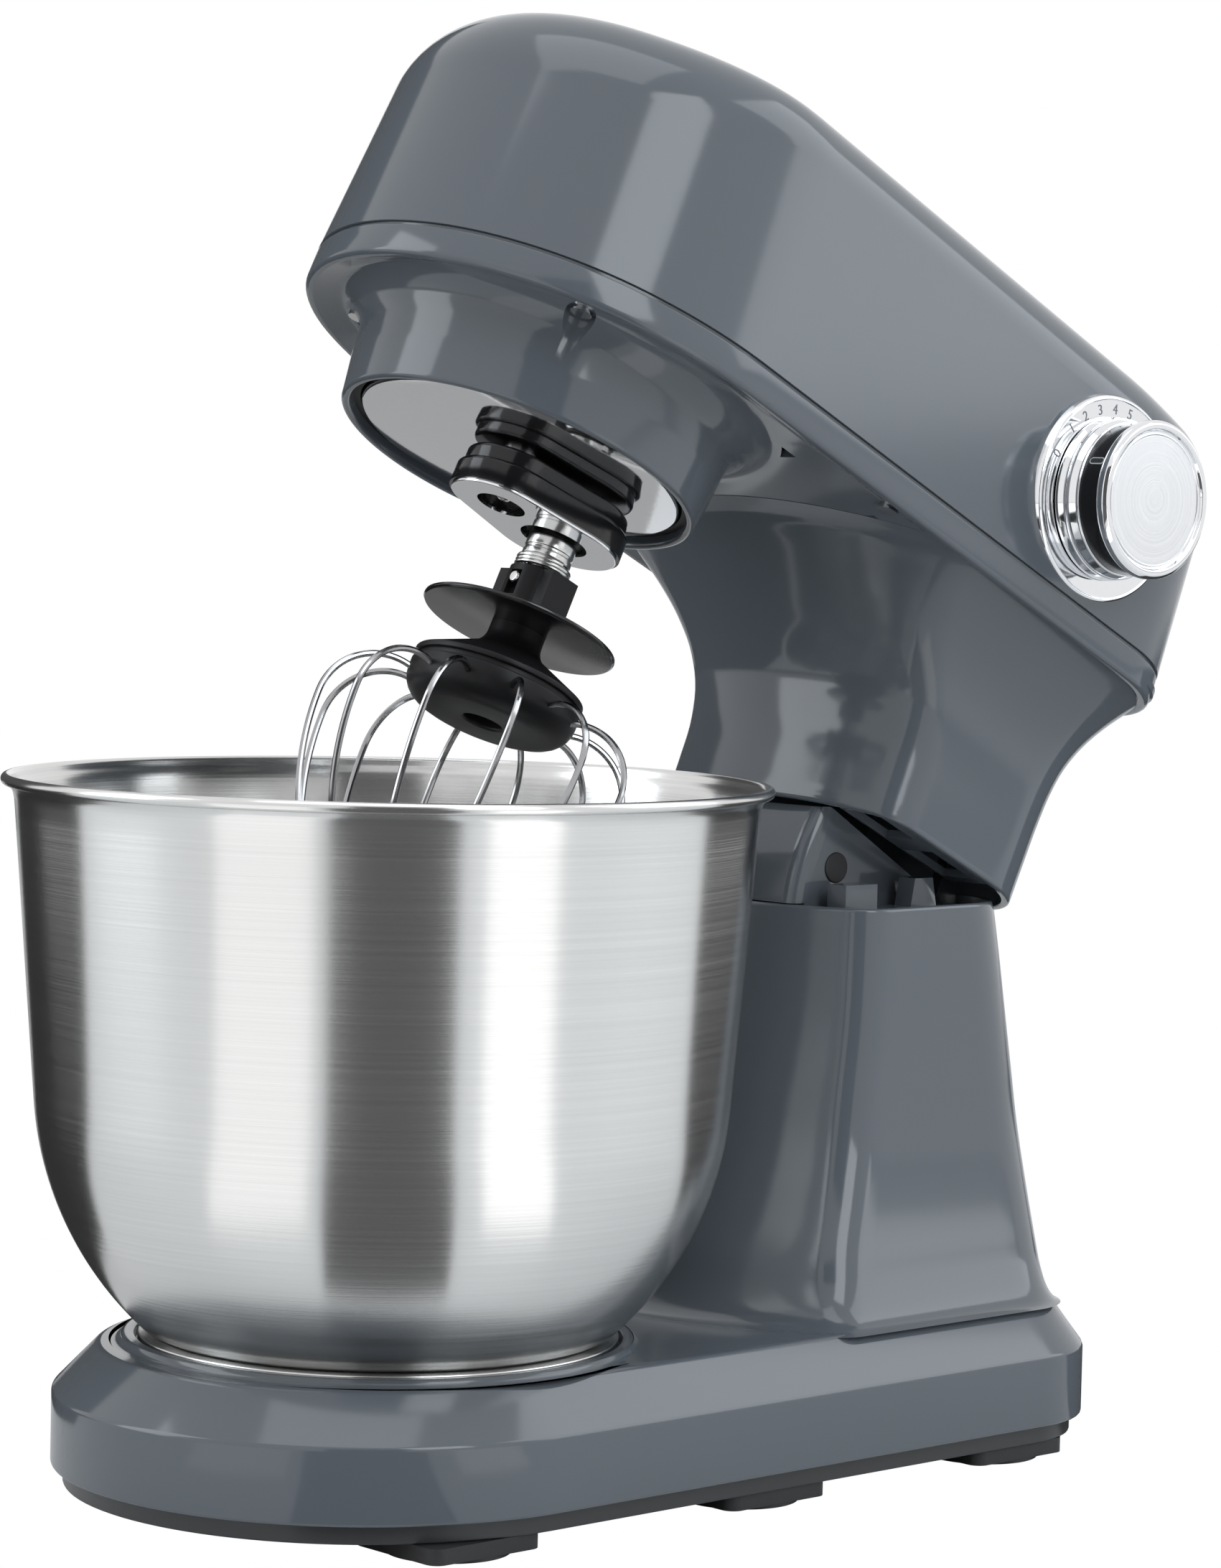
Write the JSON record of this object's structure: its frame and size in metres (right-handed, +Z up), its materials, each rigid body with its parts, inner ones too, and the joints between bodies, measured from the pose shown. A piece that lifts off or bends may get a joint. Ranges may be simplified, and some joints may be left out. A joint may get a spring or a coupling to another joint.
{
  "type": "stand mixer",
  "caption": "Tilt-head stand mixer with a steel bowl on a turn-lock base, a planetary wire whisk, a side speed knob and a hinged motor head shown raised.",
  "frame": {"origin": "on the bowl's axis, at the height of the surface that the feet stand on", "axes": "+Z up, -Y towards the front where the bowl is, +X towards the speed knob"},
  "size_m": [0.226, 0.4066, 0.4393],
  "materials": {
    "grey_plastic": "glossy blue-grey",
    "black_plastic": "glossy black",
    "dark_plastic": "satin dark grey",
    "chrome_plastic": "bright",
    "board": "solder mask",
    "steel": "satin",
    "brushed_steel": "brushed round",
    "chrome": "bright",
    "cast_metal": "as cast",
    "rubber": "matt"
  },
  "bodies": {
    "stand": {"base_shell": "grey_plastic", "bottom_plate": "black_plastic", "suction_foot_1": "rubber", "suction_foot_2": "rubber", "suction_foot_3": "rubber", "suction_foot_4": "rubber", "suction_foot_5": "rubber", "suction_foot_6": "rubber", "plate_screws": "steel", "bowl_lock_ring": "black_plastic", "hinge_deck": "grey_plastic", "tower_plug_left": "rubber", "tower_plug_right": "rubber", "hinge_pin": "steel", "cord_gland": "rubber"},
    "bowl": {"bowl": "brushed_steel", "bowl_foot_ring": "brushed_steel"},
    "release": {"release_button": "black_plastic"},
    "head": {"head_lower_housing": "grey_plastic", "head_screws": "steel", "head_top_cover": "grey_plastic", "mouth_ring": "rubber", "neck_floor": "dark_plastic", "hinge_bracket": "steel", "head_frame": "cast_metal", "gearbox_case": "cast_metal", "ring_gear": "steel", "shaft_bearing_lower": "steel", "shaft_bearing_upper": "steel", "motor_case": "steel", "drive_belt": "rubber", "control_board": "board", "speed_switch": "black_plastic", "dial_plate": "chrome"},
    "rotor": {"motor_rotor": "steel", "motor_pulley": "steel"},
    "planet": {"planet_disc": "chrome_plastic", "carrier_shaft": "steel", "belt_wheel": "dark_plastic", "planet_arm": "black_plastic", "arm_plate": "chrome", "arm_screw": "steel"},
    "output": {"output_shaft": "steel", "planet_gear": "steel", "drive_pin": "steel", "tool_spring": "steel"},
    "whisk": {"whisk_socket": "steel", "splash_disc": "dark_plastic", "whisk_hub": "dark_plastic", "whisk_cap": "dark_plastic", "whisk_wires": "steel"},
    "knob": {"knob_body": "black_plastic", "knob_ring": "chrome", "knob_cap": "chrome", "knob_spindle": "steel"}
  },
  "joints": [
    {"name": "head_tilt", "type": "hinge", "parent": "stand", "child": "head", "pos_m": [0, 0.21, 0.1605], "axis": [1, 0, 0], "range_deg": [0, 26.34]},
    {"name": "bowl_twist", "type": "hinge", "parent": "stand", "child": "bowl", "pos_m": [0, 0, 0.0455], "axis": [0, 0, 1], "range_deg": [-25, 0]},
    {"name": "release_button", "type": "slide", "parent": "stand", "child": "release", "axis": [1, 0, 0], "range_m": [0, 0.005], "stiffness_N_per_m": 400},
    {"name": "planet_spin", "type": "hinge", "parent": "head", "child": "planet", "pos_m": [0, 0.04687, 0.30431], "axis": [0, 0.4437, 0.8962], "continuous": true},
    {"name": "output_spin", "type": "hinge", "parent": "planet", "child": "output", "pos_m": [0, 0.06816, 0.29377], "axis": [0, 0.4437, 0.8962], "continuous": true},
    {"name": "motor_spin", "type": "hinge", "parent": "head", "child": "rotor", "pos_m": [0, 0.19564, 0.23066], "axis": [0, 0.4437, 0.8962], "continuous": true},
    {"name": "whisk_push", "type": "slide", "parent": "output", "child": "whisk", "axis": [0, 0.4437, 0.8962], "range_m": [0, 0.0022], "stiffness_N_per_m": 900, "springref_m": -0.002, "deforming": ["tool_spring"]},
    {"name": "speed_knob", "type": "hinge", "parent": "head", "child": "knob", "pos_m": [0.09, 0.22301, 0.29856], "axis": [1, 0, 0], "range_deg": [-30, 180]}
  ],
  "couplings": [
    {"joint": "output_spin", "follows": "planet_spin", "ratio": -3.375},
    {"joint": "motor_spin", "follows": "planet_spin", "ratio": 4.6}
  ]
}
